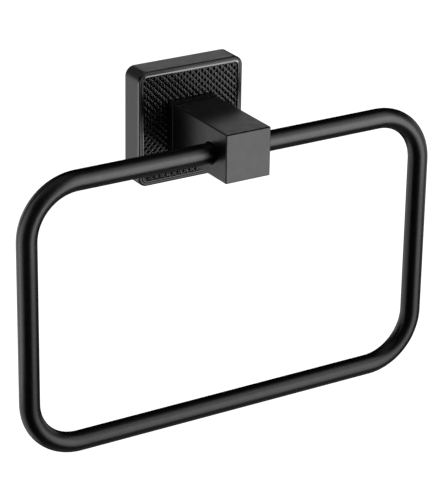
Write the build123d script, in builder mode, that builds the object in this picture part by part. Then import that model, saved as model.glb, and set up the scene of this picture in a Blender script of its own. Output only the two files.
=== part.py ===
from build123d import *
import math
import os

# Towel ring for a wall: square rose with a knurled panel, square post and a bent rod.
# The wall is the plane y = 0 and the holder stands out from it towards -Y. The origin is the middle
# of the rose's wall side, +Z is up. A "depth" below is a distance from the wall.

# Rose: a square cup whose open side stands on the wall
rose_side = 48.0
rose_depth = 10.7
rose_corner_radius = 4.0
rose_edge_radius = 0.9
rose_wall = 1.8
rose_front_wall = 2.2
cavity_corner_radius = 2.2

# Knurled panel, let into the rose's front and standing proud of its rim
rim_width = 1.4
inlay_pocket_depth = 0.7
inlay_corner_radius = 2.6
inlay_clearance = 0.05
inlay_proud = 0.25
inlay_bevel_width = 0.45
inlay_bevel_depth = 0.15
inlay_border = 0.7
knurl_pitch = 1.95
knurl_height = 0.55

# Post: square 20 mm bar with its coat, on a slightly wider foot
post_side = 20.2
post_reach = 54.0
post_edge_radius = 0.5
foot_step = 0.4
foot_rise = 3.5
foot_edge_chamfer = 0.2
foot_clearance = 0.1

# Towel ring: one 8 mm rod with its coat, bent to a rounded rectangle, measured along its middle line
rod_diameter = 8.2
ring_width = 180.0
ring_height = 110.0
ring_bend_radius = 21.3
ring_end_gap = 0.3
rod_setback = 12.0
rod_drop = 1.0
rod_bore_clearance = 0.15
rod_bore_chamfer = 0.4

# Screw and washer that pull the post on to the rose
post_screw_diameter = 6.0
post_screw_head_diameter = 11.0
post_screw_head_height = 3.2
post_screw_head_chamfer = 1.0
post_screw_grip = 12.0
post_screw_socket = 4.0
post_screw_socket_depth = 2.0
post_screw_point_chamfer = 0.8
post_tap_run_out = 2.0
lock_washer_diameter = 11.0
lock_washer_thickness = 1.6
lock_washer_split = 1.0
screw_hole_clearance = 0.2
thread_clearance = 0.05

# Wall bracket: bent plate with a leaning flange above and below
bracket_side_gap = 3.0
bracket_front_gap = 1.6
bracket_thickness = 1.8
bracket_inner_bend = 0.6
flange_lean = 10.0
hook_height = 4.6
hook_width = 24.0
hook_near_depth = 1.0
hook_overlap = 1.8
hook_clearance = 0.15
slot_width = 4.6
slot_edge_margin = 2.4
slot_web = 1.6
head_window_gap = 0.7

# Grub screws: one locks the rose on the bracket, two lock the rod's ends in the post
grub_diameter = 4.0
grub_socket = 2.0
grub_socket_depth = 1.8
grub_point_chamfer = 0.8
grub_sink = 0.5
rose_screw_setback = 2.2
rose_screw_boss_width = 9.0
rose_screw_boss_height = 1.8
rose_screw_boss_setback = 0.6
ring_screw_edge = 5.0
contact_clearance = 0.02

# Places that follow from the sizes above
inlay_seat_depth = rose_depth - inlay_pocket_depth
cavity_depth = inlay_seat_depth - rose_front_wall
cavity_side = rose_side - 2 * rose_wall
cavity_half = cavity_side / 2
pocket_side = rose_side - 2 * rim_width
inlay_side = pocket_side - 2 * inlay_clearance
knurl_tip_depth = rose_depth + inlay_proud
knurl_valley_depth = knurl_tip_depth - knurl_height
knurl_side = inlay_side - 2 * inlay_border
foot_side = post_side + 2 * foot_step
foot_reach = rose_depth + foot_rise
window_side = foot_side + 2 * foot_clearance
rod_radius = rod_diameter / 2
rod_bore_radius = rod_radius + rod_bore_clearance
rod_depth = post_reach - rod_setback
rod_height = -rod_drop
post_screw_seat = cavity_depth - lock_washer_thickness
bracket_width = cavity_side - 2 * bracket_side_gap
bracket_depth = cavity_depth - bracket_front_gap
bracket_outer_bend = bracket_inner_bend + bracket_thickness
hook_far_depth = bracket_depth - hook_overlap
flange_slope = math.tan(math.radians(flange_lean))
flange_foot = cavity_half - hook_height - hook_clearance - hook_far_depth * flange_slope
head_window_radius = post_screw_head_diameter / 2 + head_window_gap
slot_length = bracket_width / 2 - slot_edge_margin - head_window_radius - slot_web
slot_x = head_window_radius + slot_web + slot_length / 2
grub_radius = grub_diameter / 2
grub_hole_radius = grub_radius + thread_clearance
grub_point_radius = grub_radius - grub_point_chamfer
rose_screw_depth = bracket_depth - rose_screw_setback
ring_screw_x = post_side / 2 - ring_screw_edge
ring_screw_places = [(-ring_screw_x, -rod_depth), (ring_screw_x, -rod_depth)]


def flange_outside(depth):
    """Height of a flange's outer side above the middle, at a depth from the wall."""
    return flange_foot + depth * flange_slope


def hexagon_radius(across_flats):
    """Corner radius of a hexagon with a given size across its flats."""
    return across_flats / math.sqrt(3)


def knurl_profile():
    """Saw-tooth section of the panel: (across the ridges, depth from the wall)."""
    ridges = math.ceil(inlay_side / math.sqrt(2) / knurl_pitch)
    points = [(-ridges * knurl_pitch, inlay_seat_depth)]
    for ridge in range(-ridges, ridges):
        points.append((ridge * knurl_pitch, knurl_valley_depth))
        points.append(((ridge + 0.5) * knurl_pitch, knurl_tip_depth))
    points.append((ridges * knurl_pitch, knurl_valley_depth))
    points.append((ridges * knurl_pitch, inlay_seat_depth))
    return points


os.makedirs("parts", exist_ok=True)

# Rose: rounded square cup with a hook inside its top wall and a threaded boss inside its bottom wall
with BuildPart() as rose_cover:
    with BuildSketch(Plane.XZ):
        RectangleRounded(rose_side, rose_side, rose_corner_radius)
    extrude(amount=rose_depth)
    fillet(rose_cover.faces().sort_by(Axis.Y)[0].edges(), radius=rose_edge_radius)
    with BuildSketch(Plane.XZ):
        RectangleRounded(cavity_side, cavity_side, cavity_corner_radius)
    extrude(amount=cavity_depth, mode=Mode.SUBTRACT)
    with BuildSketch(Plane.XZ.offset(rose_depth)):
        RectangleRounded(pocket_side, pocket_side, inlay_corner_radius + inlay_clearance)
    extrude(amount=-inlay_pocket_depth, mode=Mode.SUBTRACT)
    with BuildSketch(Plane.YZ):
        with BuildLine():
            Polyline(
                (-hook_near_depth, cavity_half + rose_wall / 2),
                (-hook_far_depth, cavity_half + rose_wall / 2),
                (-hook_far_depth, flange_outside(hook_far_depth) + hook_clearance),
                (-hook_near_depth, flange_outside(hook_near_depth) + hook_clearance),
                close=True,
            )
        make_face()
    extrude(amount=hook_width / 2, both=True)
    with BuildSketch(Plane.XZ.offset(rose_screw_boss_setback)):
        with Locations((0, -cavity_half)):
            Rectangle(rose_screw_boss_width, rose_screw_boss_height, align=(Align.CENTER, Align.MIN))
    extrude(amount=cavity_depth - rose_screw_boss_setback)
    with BuildSketch(Plane.XY.offset(-rose_side / 2)):
        with Locations((0, -rose_screw_depth)):
            Circle(grub_hole_radius)
    extrude(amount=rose_wall + rose_screw_boss_height, mode=Mode.SUBTRACT)
    with BuildSketch(Plane.XZ.offset(cavity_depth)):
        Circle(post_screw_diameter / 2 + screw_hole_clearance)
    extrude(amount=rose_front_wall, mode=Mode.SUBTRACT)
rose_cover.part.label = "rose_cover"
export_step(rose_cover.part, "parts/rose_cover.step")

# Knurl: two sets of ridges at 45 degrees to the sides, crossing as rows of pyramids
with BuildPart() as knurl:
    with BuildSketch(Plane(origin=(0, 0, 0), x_dir=(1, 0, 1), z_dir=(1, 0, -1))):
        with BuildLine():
            Polyline(*knurl_profile(), close=True)
        make_face()
    extrude(amount=rose_side, both=True)
    with BuildSketch(Plane(origin=(0, 0, 0), x_dir=(-1, 0, 1), z_dir=(1, 0, 1))):
        with BuildLine():
            Polyline(*knurl_profile(), close=True)
        make_face()
    extrude(amount=rose_side, both=True, mode=Mode.INTERSECT)

# What the knurling takes away from the panel, inside its plain border
with BuildPart() as knurl_hollow:
    with BuildSketch(Plane.XZ.offset(inlay_seat_depth)):
        RectangleRounded(knurl_side, knurl_side, inlay_corner_radius - inlay_border)
    extrude(amount=rose_depth - inlay_seat_depth + knurl_height)
    add(knurl.part, mode=Mode.SUBTRACT)

# Knurled panel: plate with a plain bevelled border and a square window for the post's foot
with BuildPart() as knurled_inlay:
    with BuildSketch(Plane.XZ.offset(inlay_seat_depth)):
        RectangleRounded(inlay_side, inlay_side, inlay_corner_radius)
    extrude(amount=knurl_tip_depth - inlay_seat_depth)
    panel_front = knurled_inlay.faces().sort_by(Axis.Y)[0]
    chamfer(panel_front.edges(), length=inlay_bevel_width, length2=inlay_bevel_depth, reference=panel_front)
    add(knurl_hollow.part, mode=Mode.SUBTRACT)
    with BuildSketch(Plane.XZ.offset(inlay_seat_depth)):
        Rectangle(window_side, window_side)
    extrude(amount=knurl_tip_depth - inlay_seat_depth, mode=Mode.SUBTRACT)
knurled_inlay.part.label = "knurled_inlay"
export_step(knurled_inlay.part, "parts/knurled_inlay.step")

# Post: foot in the panel's window, square bar, cross bore for the rod and tapped holes
with BuildPart() as post:
    with BuildSketch(Plane.XZ.offset(inlay_seat_depth)):
        foot_outline = Rectangle(foot_side, foot_side)
        fillet(foot_outline.vertices(), radius=post_edge_radius)
    extrude(amount=foot_reach - inlay_seat_depth)
    chamfer(post.faces().sort_by(Axis.Y)[0].edges(), length=foot_edge_chamfer)
    with BuildSketch(Plane.XZ.offset(inlay_seat_depth)):
        Rectangle(post_side, post_side)
    extrude(amount=post_reach - inlay_seat_depth)
    bar_edges = post.edges().filter_by(Axis.Y).group_by(SortBy.LENGTH)[-1]
    fillet(bar_edges + post.faces().sort_by(Axis.Y)[0].edges(), radius=post_edge_radius)
    with BuildSketch(Plane.YZ):
        with Locations((-rod_depth, rod_height)):
            Circle(rod_bore_radius)
    extrude(amount=post_side / 2, both=True, mode=Mode.SUBTRACT)
    round_edges = post.edges().filter_by(GeomType.CIRCLE)
    bore_mouths = round_edges.filter_by(lambda edge: math.isclose(edge.radius, rod_bore_radius))
    chamfer(bore_mouths, length=rod_bore_chamfer)
    with BuildSketch(Plane.XZ.offset(inlay_seat_depth)):
        Circle(post_screw_diameter / 2 + thread_clearance)
    extrude(amount=post_screw_grip + post_tap_run_out, mode=Mode.SUBTRACT)
    with BuildSketch(Plane.XY.offset(-post_side / 2)):
        with Locations(*ring_screw_places):
            Circle(grub_hole_radius)
    extrude(amount=post_side / 2 + rod_height, mode=Mode.SUBTRACT)
post.part.label = "post"
export_step(post.part, "parts/post.step")

# Towel ring: the rod's ends meet in the middle of the post
with BuildPart() as towel_ring:
    with BuildLine(Plane.XZ.offset(rod_depth)) as rod_line:
        FilletPolyline(
            (ring_end_gap / 2, rod_height),
            (ring_width / 2, rod_height),
            (ring_width / 2, rod_height - ring_height),
            (-ring_width / 2, rod_height - ring_height),
            (-ring_width / 2, rod_height),
            (-ring_end_gap / 2, rod_height),
            radius=ring_bend_radius,
        )
    with BuildSketch(Plane(origin=rod_line.line @ 0, z_dir=rod_line.line % 0)):
        Circle(rod_radius)
    sweep()
towel_ring.part.label = "towel_ring"
export_step(towel_ring.part, "parts/towel_ring.step")

# Split spring washer inside the rose, under the post screw's head
with BuildPart() as lock_washer:
    with BuildSketch(Plane.XZ.offset(post_screw_seat)):
        Circle(lock_washer_diameter / 2)
        Circle(post_screw_diameter / 2 + screw_hole_clearance, mode=Mode.SUBTRACT)
        Rectangle(lock_washer_split, lock_washer_diameter, align=(Align.CENTER, Align.MIN), mode=Mode.SUBTRACT)
    extrude(amount=lock_washer_thickness)
lock_washer.part.label = "lock_washer"
export_step(lock_washer.part, "parts/lock_washer.step")

# Post screw: round head with a hexagon socket, from inside the rose into the post
with BuildPart() as post_screw:
    with BuildSketch(Plane.XZ.offset(post_screw_seat - post_screw_head_height)):
        Circle(post_screw_head_diameter / 2)
    extrude(amount=post_screw_head_height)
    chamfer(post_screw.faces().sort_by(Axis.Y)[-1].edges(), length=post_screw_head_chamfer)
    with BuildSketch(Plane.XZ.offset(post_screw_seat)):
        Circle(post_screw_diameter / 2)
    extrude(amount=inlay_seat_depth - post_screw_seat + post_screw_grip)
    chamfer(post_screw.faces().sort_by(Axis.Y)[0].edges(), length=post_screw_point_chamfer)
    with BuildSketch(Plane.XZ.offset(post_screw_seat - post_screw_head_height)):
        RegularPolygon(hexagon_radius(post_screw_socket), 6)
    extrude(amount=post_screw_socket_depth, mode=Mode.SUBTRACT)
post_screw.part.label = "post_screw"
export_step(post_screw.part, "parts/post_screw.step")

# Wall bracket: plate on the wall, bent out above and below into flanges that lean apart
with BuildPart() as wall_bracket:
    with BuildSketch(Plane.YZ):
        with BuildLine() as bracket_line:
            FilletPolyline(
                (-bracket_depth, flange_outside(bracket_depth)),
                (0, flange_outside(0)),
                (0, -flange_outside(0)),
                (-bracket_depth, -flange_outside(bracket_depth)),
                radius=bracket_outer_bend,
            )
            offset(amount=bracket_thickness, side=Side.RIGHT)
        make_face()
    extrude(amount=bracket_width / 2, both=True)
    with BuildSketch(Plane.XZ):
        with Locations((-slot_x, 0), (slot_x, 0)):
            SlotOverall(slot_length, slot_width)
        Circle(head_window_radius)
    extrude(amount=bracket_thickness, mode=Mode.SUBTRACT)
wall_bracket.part.label = "wall_bracket"
export_step(wall_bracket.part, "parts/wall_bracket.step")

# Grub screw under the rose: its flat point bears behind the bracket's lower flange
rose_screw_tip = -flange_outside(rose_screw_depth + grub_point_radius) - contact_clearance
rose_screw_end = -rose_side / 2 + grub_sink
with BuildPart() as rose_set_screw:
    with BuildSketch(Plane.XY.offset(rose_screw_end)):
        with Locations((0, -rose_screw_depth)):
            Circle(grub_radius)
    extrude(amount=rose_screw_tip - rose_screw_end)
    chamfer(rose_set_screw.faces().sort_by(Axis.Z)[-1].edges(), length=grub_point_chamfer)
    with BuildSketch(Plane.XY.offset(rose_screw_end)):
        with Locations((0, -rose_screw_depth)):
            RegularPolygon(hexagon_radius(grub_socket), 6)
    extrude(amount=grub_socket_depth, mode=Mode.SUBTRACT)
rose_set_screw.part.label = "rose_set_screw"
export_step(rose_set_screw.part, "parts/rose_set_screw.step")

# Grub screws under the post: one bears on each end of the rod
ring_screw_tip = rod_height - rod_radius - contact_clearance
ring_screw_end = -post_side / 2 + grub_sink
with BuildPart() as ring_set_screws:
    with BuildSketch(Plane.XY.offset(ring_screw_end)):
        with Locations(*ring_screw_places):
            Circle(grub_radius)
    extrude(amount=ring_screw_tip - ring_screw_end)
    chamfer(ring_set_screws.faces().group_by(Axis.Z)[-1].edges(), length=grub_point_chamfer)
    with BuildSketch(Plane.XY.offset(ring_screw_end)):
        with Locations(*ring_screw_places):
            RegularPolygon(hexagon_radius(grub_socket), 6)
    extrude(amount=grub_socket_depth, mode=Mode.SUBTRACT)
ring_set_screws.part.label = "ring_set_screws"
export_step(ring_set_screws.part, "parts/ring_set_screws.step")
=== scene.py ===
# %% [markdown]
# # A satin black towel ring
# The real thing is a square bathroom rose with a knurled panel, a square post and one bent rod, all powder coated in
# satin black. The shapes could be modelled again here, but they come finished from CAD, in metres and in place. So
# no mesh is touched, and the lesson is about the camera, the finishes and the light.

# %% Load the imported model
import math

import bpy
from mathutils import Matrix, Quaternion, Vector

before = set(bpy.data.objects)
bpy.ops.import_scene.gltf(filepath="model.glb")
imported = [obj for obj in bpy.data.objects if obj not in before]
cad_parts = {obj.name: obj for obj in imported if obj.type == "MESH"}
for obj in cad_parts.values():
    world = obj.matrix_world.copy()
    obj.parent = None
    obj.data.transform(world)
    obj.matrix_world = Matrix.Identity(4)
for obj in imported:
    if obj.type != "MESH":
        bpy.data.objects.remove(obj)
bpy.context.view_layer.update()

MM = 0.001
print("pieces:", sorted(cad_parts))

# %% [markdown]
# ## The camera
# The photograph was taken from the left and above with a long lens, which keeps the legs of the ring almost
# parallel. A camera can be placed by eye, but here the corners and bends of the ring fix it well: they give the
# place, the point on the ring's plane that lies in the middle of the picture, and a small tilt.

# %% Camera at the photograph's viewing angle
camera_place = Vector((-463.6, -781.2, 332.0)) * MM
camera_aim = Vector((-3.6, -42.0, -43.3)) * MM
camera_roll = math.radians(0.96)
lens_mm, sensor_mm = 172.7, 36.0

camera = bpy.data.objects.new("camera", bpy.data.cameras.new("camera"))
camera.data.sensor_width = sensor_mm
camera.data.lens = lens_mm
camera.location = camera_place
camera.rotation_mode = "QUATERNION"
camera_turn = (camera_aim - camera_place).to_track_quat("-Z", "Y")
camera.rotation_quaternion = camera_turn @ Quaternion((0, 0, 1), camera_roll)
bpy.context.scene.collection.objects.link(camera)
bpy.context.scene.camera = camera
bpy.context.scene.view_settings.view_transform = "Standard"  # shows a colour as it is written
print("camera distance in mm:", round((camera_aim - camera_place).length / MM))

# %% [markdown]
# ## Small tools for materials
# Colours are written as sRGB hex, as in any paint program, while shader sockets take linear light. Nodes could be
# added, set and linked line by line, but every material below is a short list of nodes, so one function does all
# three.

# %% Colour and node helpers
def linear(hex_colour):
    """An sRGB hex colour as linear red, green, blue and alpha."""
    channels = [int(hex_colour[start:start + 2], 16) / 255 for start in (1, 3, 5)]
    return [c / 12.92 if c <= 0.04045 else ((c + 0.055) / 1.055) ** 2.4 for c in channels] + [1.0]


def add_node(tree, kind, inputs=None, links=None, **settings):
    """Adds a node with settings, socket values, and links given as socket: (node, output)."""
    node = tree.nodes.new(kind)
    for name, value in settings.items():
        setattr(node, name, value)
    for socket, value in (inputs or {}).items():
        node.inputs[socket].default_value = value
    for socket, (source, output) in (links or {}).items():
        tree.links.new(source.outputs[output], node.inputs[socket])
    return node


def empty_material(name):
    """A node material with nothing in it yet."""
    material = bpy.data.materials.new(name)
    material.use_nodes = True
    material.node_tree.nodes.clear()
    return material


print("deep black as linear light:", round(linear("#0a0a0a")[0], 4))

# %% [markdown]
# ## Satin black powder coat
# Powder coat is sprayed on dry and melts to a skin. It is a dielectric over metal, so it mirrors like plastic (IOR
# about 1.5), softly, and is almost black where nothing bright is mirrored. The skin keeps a faint orange peel. One
# flat black would be the quickest way, but it looks cut out of paper, so colour, gloss and height each vary a little.

# %% How a powder coat is built
MIX_FACTOR, MIX_A, MIX_B, MIX_RESULT = 0, 6, 7, 2  # sockets of a colour Mix node, by number as their names repeat
NOISE_LOW, NOISE_HIGH = 0.3, 0.7  # nearly all of a noise texture lies between these values


def per_metre(size_mm):
    """Scale of a texture whose grains are about this size."""
    return 1.0 / (size_mm * MM)


def powder_coat(name, dark, light, gloss, peel_mm, peel_depth_mm, ior=1.5):
    """A black coat with faint clouds, an uneven gloss (lowest and highest roughness) and orange peel."""
    cloud_mm, sheen_mm = 9.0, 3.5
    material = empty_material(name)
    tree = material.node_tree
    place = add_node(tree, "ShaderNodeTexCoord")
    cloud = add_node(tree, "ShaderNodeTexNoise", {"Scale": per_metre(cloud_mm), "Detail": 3.0},
                     {"Vector": (place, "Object")})
    colour = add_node(tree, "ShaderNodeMix", {MIX_A: linear(dark), MIX_B: linear(light)},
                      {MIX_FACTOR: (cloud, 0)}, data_type="RGBA")
    sheen = add_node(tree, "ShaderNodeTexNoise", {"Scale": per_metre(sheen_mm), "Detail": 2.0},
                     {"Vector": (place, "Object")})
    roughness = add_node(tree, "ShaderNodeMapRange",
                         {"From Min": NOISE_LOW, "From Max": NOISE_HIGH, "To Min": gloss[0], "To Max": gloss[1]},
                         {"Value": (sheen, 0)})
    peel = add_node(tree, "ShaderNodeTexNoise", {"Scale": per_metre(peel_mm), "Detail": 1.0},
                    {"Vector": (place, "Object")})
    skin = add_node(tree, "ShaderNodeBump", {"Strength": 1.0, "Distance": peel_depth_mm * MM},
                    {"Height": (peel, 0)})
    coat = add_node(tree, "ShaderNodeBsdfPrincipled", {"IOR": ior},
                    {"Base Color": (colour, MIX_RESULT), "Roughness": (roughness, 0), "Normal": (skin, 0)})
    add_node(tree, "ShaderNodeOutputMaterial", links={"Surface": (coat, 0)})
    return material


print("texture scale for grains of 1 mm:", round(per_metre(1.0)))

# %% [markdown]
# ## The coat on rose, post and rod
# The three have the same black. They could share one material, but in the photograph the highlights on the rod are a
# little softer than those on the flat faces, so the rod has a slightly rougher copy.

# %% Coats of the smooth pieces
# Real orange peel is about 0.5 mm wide; it is drawn coarser here, because finer would not show in the render.
smooth_peel_mm, smooth_peel_depth_mm = 0.9, 0.003

# To the eye: nearly black, and each lit surface shows in it as a soft grey patch.
satin_black = powder_coat("satin_black_powder_coat", "#030303", "#060606", (0.28, 0.33),
                          smooth_peel_mm, smooth_peel_depth_mm)
# To the eye: the same black, with soft grey bands that run along the bar and round its bends.
rod_black = powder_coat("satin_black_on_rod", "#030303", "#060606", (0.30, 0.35),
                        smooth_peel_mm, smooth_peel_depth_mm)
print("made", satin_black.name, rod_black.name)

# %% [markdown]
# ## The coat on the knurl
# Knurled metal has sharp ridges, and molten powder draws away from them: the coat is thin and glossier there, and
# rounds each ridge a little. The pyramids are CAD geometry. Rounding hundreds of ridges there would take very many
# faces, so a Bevel node rounds them for the light only. A higher IOR lets the small facets mirror as strongly as they
# do in the photograph.

# %% Powder coat on the knurled panel
# The peel on the ridges is finer and shallower than on the smooth pieces, but still drawn coarser than it is.
knurl_peel_mm, knurl_peel_depth_mm = 0.7, 0.0012
ridge_radius_mm = 0.1

# To the eye: black valleys, thin light lines along the ridges, and facets that flash one by one.
knurl_black = powder_coat("satin_black_on_knurl", "#020202", "#050505", (0.13, 0.18),
                          knurl_peel_mm, knurl_peel_depth_mm, ior=1.8)
knurl_tree = knurl_black.node_tree
knurl_skin = next(node for node in knurl_tree.nodes if node.type == "BUMP")
round_ridge = add_node(knurl_tree, "ShaderNodeBevel", {"Radius": ridge_radius_mm * MM}, samples=8)
knurl_tree.links.new(round_ridge.outputs[0], knurl_skin.inputs["Normal"])
print("made", knurl_black.name, "with ridges rounded by mm:", ridge_radius_mm)

# %% [markdown]
# ## Zinc plate on the hidden steel
# The bracket, the post screw and its washer are bright zinc plated against rust. The plate is a metal with a bluish
# grey colour, and it dries in small patches that differ a little in tone and gloss. Noise would give soft clouds;
# the cells of a Voronoi texture have edges, as such patches do.

# %% Zinc plate material
def zinc_plate():
    """Bright zinc: a metal whose patches differ a little in tone and gloss."""
    patch_mm, grain_mm, grain_depth_mm = 2.5, 0.4, 0.002  # coarser than on a real screw, so that they show
    material = empty_material("bright_zinc_plate")
    tree = material.node_tree
    place = add_node(tree, "ShaderNodeTexCoord")
    patches = add_node(tree, "ShaderNodeTexVoronoi", {"Scale": per_metre(patch_mm)}, {"Vector": (place, "Object")})
    tone = add_node(tree, "ShaderNodeSeparateColor", links={"Color": (patches, "Color")})
    colour = add_node(tree, "ShaderNodeMix", {MIX_A: linear("#a9adb3"), MIX_B: linear("#c6c9cd")},
                      {MIX_FACTOR: (tone, 0)}, data_type="RGBA")
    roughness = add_node(tree, "ShaderNodeMapRange", {"To Min": 0.28, "To Max": 0.42}, {"Value": (tone, 1)})
    grain = add_node(tree, "ShaderNodeTexNoise", {"Scale": per_metre(grain_mm), "Detail": 2.0},
                     {"Vector": (place, "Object")})
    skin = add_node(tree, "ShaderNodeBump", {"Distance": grain_depth_mm * MM}, {"Height": (grain, 0)})
    plate = add_node(tree, "ShaderNodeBsdfPrincipled", {"Metallic": 1.0},
                     {"Base Color": (colour, MIX_RESULT), "Roughness": (roughness, 0), "Normal": (skin, 0)})
    add_node(tree, "ShaderNodeOutputMaterial", links={"Surface": (plate, 0)})
    return material


# To the eye: a pale bluish grey metal, patchy and half bright.
bright_zinc = zinc_plate()
print("made", bright_zinc.name)

# %% [markdown]
# ## Stainless steel of the grub screws
# Grub screws are turned from stainless bar, threaded and left bare. The CAD screws are plain cylinders. A thread could
# be modelled, but only their ends show, deep in shade. Their axes are upright, so bands along Z, about as far apart
# as the turns of a small thread, give the glitter of a real one.

# %% Turned stainless material
def turned_stainless():
    """Bare stainless steel with turning rings along Z."""
    ring_mm, ring_depth_mm = 0.7, 0.08
    bands_per_scale = math.pi  # at scale 1 a Wave texture draws a little over three bands per metre
    material = empty_material("turned_stainless_steel")
    tree = material.node_tree
    place = add_node(tree, "ShaderNodeTexCoord")
    rings = add_node(tree, "ShaderNodeTexWave", {"Scale": per_metre(ring_mm) / bands_per_scale, "Distortion": 0.4},
                     {"Vector": (place, "Object")}, bands_direction="Z")
    colour = add_node(tree, "ShaderNodeMix", {MIX_A: linear("#8f8d8a"), MIX_B: linear("#c2c0bc")},
                      {MIX_FACTOR: (rings, "Fac")}, data_type="RGBA")
    ridge = add_node(tree, "ShaderNodeBump", {"Distance": ring_depth_mm * MM}, {"Height": (rings, "Fac")})
    steel = add_node(tree, "ShaderNodeBsdfPrincipled", {"Metallic": 1.0, "Roughness": 0.3},
                     {"Base Color": (colour, MIX_RESULT), "Normal": (ridge, 0)})
    add_node(tree, "ShaderNodeOutputMaterial", links={"Surface": (steel, 0)})
    return material


# To the eye: a warm grey metal with fine rings that glitter like a thread.
bare_stainless = turned_stainless()
print("made", bare_stainless.name)

# %% [markdown]
# ## Dressing the pieces
# Every CAD node keeps its mesh and only gets its finish. A new piece could stand for a node, but none is needed: rigid
# metal parts look as their CAD solids do.

# %% Finishes on the pieces
finishes = {
    "rose_cover": satin_black,
    "knurled_inlay": knurl_black,
    "post": satin_black,
    "towel_ring": rod_black,
    "wall_bracket": bright_zinc,
    "post_screw": bright_zinc,
    "lock_washer": bright_zinc,
    "rose_set_screw": bare_stainless,
    "ring_set_screws": bare_stainless,
}
for node_name, finish in finishes.items():
    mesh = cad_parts[node_name].data
    mesh.materials.clear()
    mesh.materials.append(finish)
    print(node_name, "wears", finish.name)

# %% [markdown]
# ## White set
# The photograph shows the holder on plain white. Strong light on a white floor would give that too, but would flood
# the black coat. So the floor is a real pale surface that keeps a shadow, and it glows only where the camera or a
# mirror-like surface looks at it. The world beyond it does the same.

# %% White paint that glows only where it is seen
def seen_directly(tree):
    """1 for camera, mirror and see-through rays, 0 for rays that only carry light."""
    path = add_node(tree, "ShaderNodeLightPath")
    mirrored = add_node(tree, "ShaderNodeMath", links={0: (path, "Is Camera Ray"), 1: (path, "Is Glossy Ray")},
                        operation="MAXIMUM")
    return add_node(tree, "ShaderNodeMath", links={0: (mirrored, 0), 1: (path, "Is Transmission Ray")},
                    operation="MAXIMUM")


def floor_paint(glow_strength):
    """Matt white paint that glows this much where it is seen directly."""
    material = empty_material("white_floor")
    tree = material.node_tree
    paint = add_node(tree, "ShaderNodeBsdfDiffuse", {"Color": linear("#f4f4f2")})
    level = add_node(tree, "ShaderNodeMath", {1: glow_strength}, {0: (seen_directly(tree), 0)}, operation="MULTIPLY")
    glow = add_node(tree, "ShaderNodeEmission", links={"Strength": (level, 0)})
    both = add_node(tree, "ShaderNodeAddShader", links={0: (paint, 0), 1: (glow, 0)})
    add_node(tree, "ShaderNodeOutputMaterial", links={"Surface": (both, 0)})
    return material


white_paint = floor_paint(glow_strength=0.85)
print("made", white_paint.name)

# %% White floor
floor_height, floor_half = -1.2, 4.0  # metres
floor_mesh = bpy.data.meshes.new("floor")
floor_mesh.from_pydata([(x * floor_half, y * floor_half, floor_height)
                        for x, y in ((-1, -1), (1, -1), (1, 1), (-1, 1))], [], [(0, 1, 2, 3)])
floor_mesh.materials.append(white_paint)
floor = bpy.data.objects.new("floor", floor_mesh)
bpy.context.scene.collection.objects.link(floor)
print("floor at mm:", floor_height / MM)

# %% White room
fill_level, white_level = 0.35, 1.0  # what lights the holder from all sides, and what is seen or mirrored
white_room = bpy.data.worlds.new("white_room")
white_room.use_nodes = True
white_room.cycles.sampling_method = "NONE"  # the room is even, so no map of its bright places is needed
bpy.context.scene.world = white_room
room_tree = white_room.node_tree
room_tree.nodes.clear()
room_level = add_node(room_tree, "ShaderNodeMapRange", {"To Min": fill_level, "To Max": white_level},
                      {"Value": (seen_directly(room_tree), 0)})
room = add_node(room_tree, "ShaderNodeBackground", {"Color": linear("#ffffff")}, {"Strength": (room_level, 0)})
add_node(room_tree, "ShaderNodeOutputWorld", links={"Surface": (room, 0)})
print("fill light:", fill_level, "of white")

# %% [markdown]
# ## Black cloth and nets
# A black coat shows little colour of its own: what it shows is the room. In a white room everything on it would turn
# milky. A photographer hangs black cloth round the subject, lets only chosen sides mirror the white, and dims those
# with a net. A darker coat would be simpler, but it would look wrong under other light, so the cloth is hung here as
# cards that show only in reflections.

# %% Cloth and net
def stage_cloth(name, clear=0.0, glow=0.0):
    """Black cloth that lets a share of the light through and glows a little, as a dim wall behind it would."""
    material = empty_material(name)
    tree = material.node_tree
    cloth = add_node(tree, "ShaderNodeEmission", {"Strength": glow})
    gap = add_node(tree, "ShaderNodeBsdfTransparent")
    weave = add_node(tree, "ShaderNodeMixShader", {0: clear}, {1: (cloth, 0), 2: (gap, 0)})
    add_node(tree, "ShaderNodeOutputMaterial", links={"Surface": (weave, 0)})
    return material


black_cloth = stage_cloth("black_cloth")
grey_cloth = stage_cloth("grey_cloth", glow=0.22)
black_net = stage_cloth("black_net", clear=0.62)
fine_net = stage_cloth("fine_net", clear=0.8)
nets = (black_net, fine_net)
print("nets:", [net.name for net in nets])

# %% A hanging card
def flag(name, material, low, high):
    """A card filling a flat box from its low to its high corner in metres, seen only in reflections."""
    first, second = [axis for axis in range(3) if low[axis] != high[axis]]
    after_low, after_high = list(low), list(low)
    after_low[first] = high[first]
    after_high[second] = high[second]
    mesh = bpy.data.meshes.new(name)
    mesh.from_pydata([low, after_low, high, after_high], [], [(0, 1, 2, 3)])
    mesh.materials.append(material)
    card = bpy.data.objects.new(name, mesh)
    card.visible_camera = False
    card.visible_diffuse = False
    card.visible_transmission = False
    card.visible_shadow = material in nets  # a net dims the lamps behind it, while cloth only shows in reflections
    bpy.context.scene.collection.objects.link(card)
    print(name, "hangs, made of", material.name)


reach, roof, ground = 1.3, 1.1, -1.05  # half width, top and bottom of the black tent, in metres
flag("flag_overhead", black_cloth, (-reach, -reach, roof), (reach, reach, roof))

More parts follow.
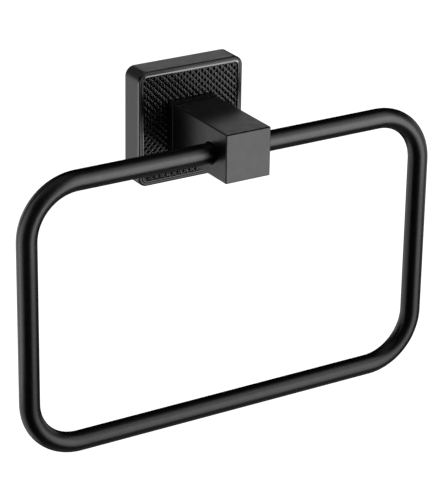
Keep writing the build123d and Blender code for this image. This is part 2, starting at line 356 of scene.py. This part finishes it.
# %% The other cards
open_left_of, open_behind, open_under = -0.25, -0.05, 0.05  # the white low on the left and behind stays open
net_reach, net_ground = 1.28, -1.03  # nets hang just inside the openings
flags = {
    "flag_camera_side": (black_cloth, (-reach, -reach, ground), (reach, -reach, roof)),
    "flag_left_front": (black_cloth, (-reach, -reach, ground), (-reach, open_behind, roof)),
    "flag_left_upper": (black_cloth, (-reach, open_behind, open_under), (-reach, reach, roof)),
    "flag_back_upper": (grey_cloth, (-reach, reach, open_under), (0.0, reach, roof)),
    "flag_back_right": (black_cloth, (0.0, reach, ground), (reach, reach, roof)),
    "flag_right": (black_cloth, (reach, -reach, ground), (reach, reach, roof)),
    "flag_low_right": (black_cloth, (open_left_of, -reach, ground), (reach, reach, ground)),
    "flag_low_left_front": (black_cloth, (-reach, -reach, ground), (open_left_of, open_behind, ground)),
    # This net hangs close in front of the lower part of the ring, whose highlights are dimmer than the top bar's.
    "net_low_front": (black_net, (-0.2, -0.1, -0.3), (0.35, -0.1, -0.048)),
    "net_left": (fine_net, (-net_reach, open_behind, ground), (-net_reach, net_reach, open_under)),
    "net_back": (fine_net, (-net_reach, net_reach, ground), (0.0, net_reach, open_under)),
    "net_low": (fine_net, (-net_reach, open_behind, net_ground), (open_left_of, net_reach, net_ground)),
}
for name, (material, low, high) in flags.items():
    flag(name, material, low, high)
print("cards besides the one overhead:", len(flags))

# %% [markdown]
# ## Soft boxes
# A soft box is a lamp behind white cloth, and the coat mirrors its shape and its brightness. It could be a glowing
# card, but an area lamp gives the same mirror image with less noise. Its brightness is set as radiance, where 1 is
# near the white of the set. A lamp here may light only some pieces, so that a box that suits one face does not fog
# another.

# %% A soft box
holder_middle = (0, -40, -30)


def soft_box(name, place_mm, width_mm, height_mm, radiance, aim_mm=holder_middle, only=()):
    """A rectangular area lamp that faces a point on the holder and may light only some of its pieces."""
    lamp = bpy.data.lights.new(name, "AREA")
    lamp.shape = "RECTANGLE"
    lamp.size = width_mm * MM
    lamp.size_y = height_mm * MM
    lamp.energy = radiance * math.pi * lamp.size * lamp.size_y
    box = bpy.data.objects.new(name, lamp)
    box.location = Vector(place_mm) * MM
    box.rotation_mode = "QUATERNION"
    box.rotation_quaternion = (Vector(place_mm) - Vector(aim_mm)).to_track_quat("Z", "Y")
    box.visible_camera = False
    if only:
        lit = bpy.data.collections.new("lit_by_" + name)
        for node_name in only:
            lit.objects.link(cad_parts[node_name])
        box.light_linking.receiver_collection = lit
    bpy.context.scene.collection.objects.link(box)
    print(name, "watts:", round(lamp.energy, 2))


def all_but(*left_out):
    """The names of all pieces but these."""
    return tuple(node_name for node_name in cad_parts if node_name not in left_out)


blocks, rod, panel = ("rose_cover", "post"), ("towel_ring",), ("knurled_inlay",)
print("pieces besides the blocks:", all_but(*blocks))

# %% [markdown]
# ## The large box right of the camera
# The light bands on the rod and the light facets of the knurl are mirror images of one large soft box on the right of
# the camera, brighter towards its middle, with a roof that leans over. A lamp's brightness is even, so boxes of
# different size stand in front of each other. The flat faces of the rose and the post would turn pale in them: the
# rose takes only the roof, the post none of it, and both get boxes of their own below.

# %% Large box on the right
# Each row: name, place, width and height in mm, radiance, then the point it faces and the pieces it lights.
soft_box("soft_box_front_right", (553, -873, -69), 975, 1376, 1.5, only=all_but(*blocks))
soft_box("soft_box_front_right_middle", (531, -840, -51), 745, 980, 2.2, only=all_but(*blocks))
soft_box("soft_box_front_right_core", (509, -806, 85), 490, 380, 0.9, only=all_but(*blocks))
soft_box("soft_box_front_right_upper", (485, -659, 589), 800, 425, 1.6, only=all_but("post"))
soft_box("soft_box_front_right_top", (485, -410, 763), 700, 300, 0.8, only=all_but("post"))

# %% [markdown]
# ## Light on the rose and the post
# A flat face mirrors nearly one direction, so it shows one even tone. The front of the post takes its grey from a low
# bright box, under a dim one, and two more reach the sides that are turned away. The tops mirror what is behind the
# holder: a long card lights most of the rose's top, and a short one leaves a soft patch on the post's. One large lamp
# there would be simpler, but would light both tops from end to end.

# %% Boxes for the two blocks
post_front, post_middle = (0, -54, 0), (0, -30, 0)
soft_box("soft_box_front_low", (500, -840, -390), 860, 700, 3.65, post_front, blocks)
soft_box("soft_box_front_dim", (500, -800, 380), 1100, 760, 0.5, post_front, blocks)
soft_box("soft_box_front_left", (-700, -700, -300), 700, 560, 0.5, post_middle, blocks)
soft_box("soft_box_back_right", (700, 700, -280), 700, 560, 0.6, post_middle, all_but(*rod, *panel))
soft_box("soft_box_behind_rose", (26, 73, 54), 88, 19, 0.96, (0, -5, 24), ("rose_cover",))
soft_box("soft_box_behind_post", (82, 73, 67), 40, 20, 1.35, (0, -50, 10), ("post",))

# %% [markdown]
# ## Cards on the left
# The outer side of the ring's left leg and the left front edge of the rose each carry a thin light line. Round metal
# shrinks what it mirrors, so a far lamp would have to be huge. Small cards close by do the same.

# %% Cards beside the left leg and the rose
soft_box("soft_box_left_leg", (-221, -30, -15), 218, 170, 1.7, (-221, -100, -15))
soft_box("soft_box_left_front", (-150, -52, -35), 20, 130, 1.0, (0, -52, -35))
soft_box("soft_box_rose_edge", (-62, -8, -14), 44, 54, 4.3, (0, -8, -14), ("rose_cover",))

# %% [markdown]
# ## Light on the knurl
# Every pyramid has four facets, and only those that face a lamp turn light. One box close on the right fills the
# right-hand facets, a small bright one further off draws the ridge lines, and one in front lights the plain border.
# A single large lamp would light all facets alike and the pattern would fade.

# %% Boxes for the knurled panel
panel_middle = (0, -12, 0)
soft_box("soft_box_knurl", (140, -24, 20), 60, 100, 1.1, panel_middle, panel)
soft_box("soft_box_ridges", (600, -520, 10), 220, 220, 7.0, panel_middle, panel)
soft_box("soft_box_border", (-20, -850, -150), 240, 420, 0.9, panel_middle, panel)

# %% [markdown]
# ## Light for the other sides
# The photograph shows one side, but the holder should read from all of them: a black coat that mirrors only black
# cloth is a silhouette. Raising the fill light would grey the whole coat, so weak boxes stand in front, below, on the
# right, above and behind, where they change little of what the photograph shows. One more lights the upper left bend.

# %% Boxes in front, below, on the right, above and behind
soft_box("soft_box_front", (-30, -850, -180), 260, 400, 0.4, panel_middle, blocks)
soft_box("soft_box_below", (110, -60, -430), 460, 460, 0.18, only=all_but(*panel))
soft_box("soft_box_knurl_low", (0, -32, -60), 70, 24, 0.15, (0, -32, 0), panel)
soft_box("soft_box_side_right", (900, -20, -130), 860, 560, 0.6, (0, -20, -130), blocks + rod)
soft_box("soft_box_overhead", (-350, 0, 1000), 1000, 1200, 0.8, (-350, 0, 0), blocks)
soft_box("soft_box_overhead_rod", (-350, 0, 990), 1000, 1200, 0.25, (-350, 0, 0), rod)
soft_box("soft_box_left_bend", (-450, 760, 120), 300, 220, 1.0, (-85, -46, -15), rod)
soft_box("soft_box_back", (-100, 1200, -200), 500, 500, 0.5, (-100, 0, -200), blocks + rod)
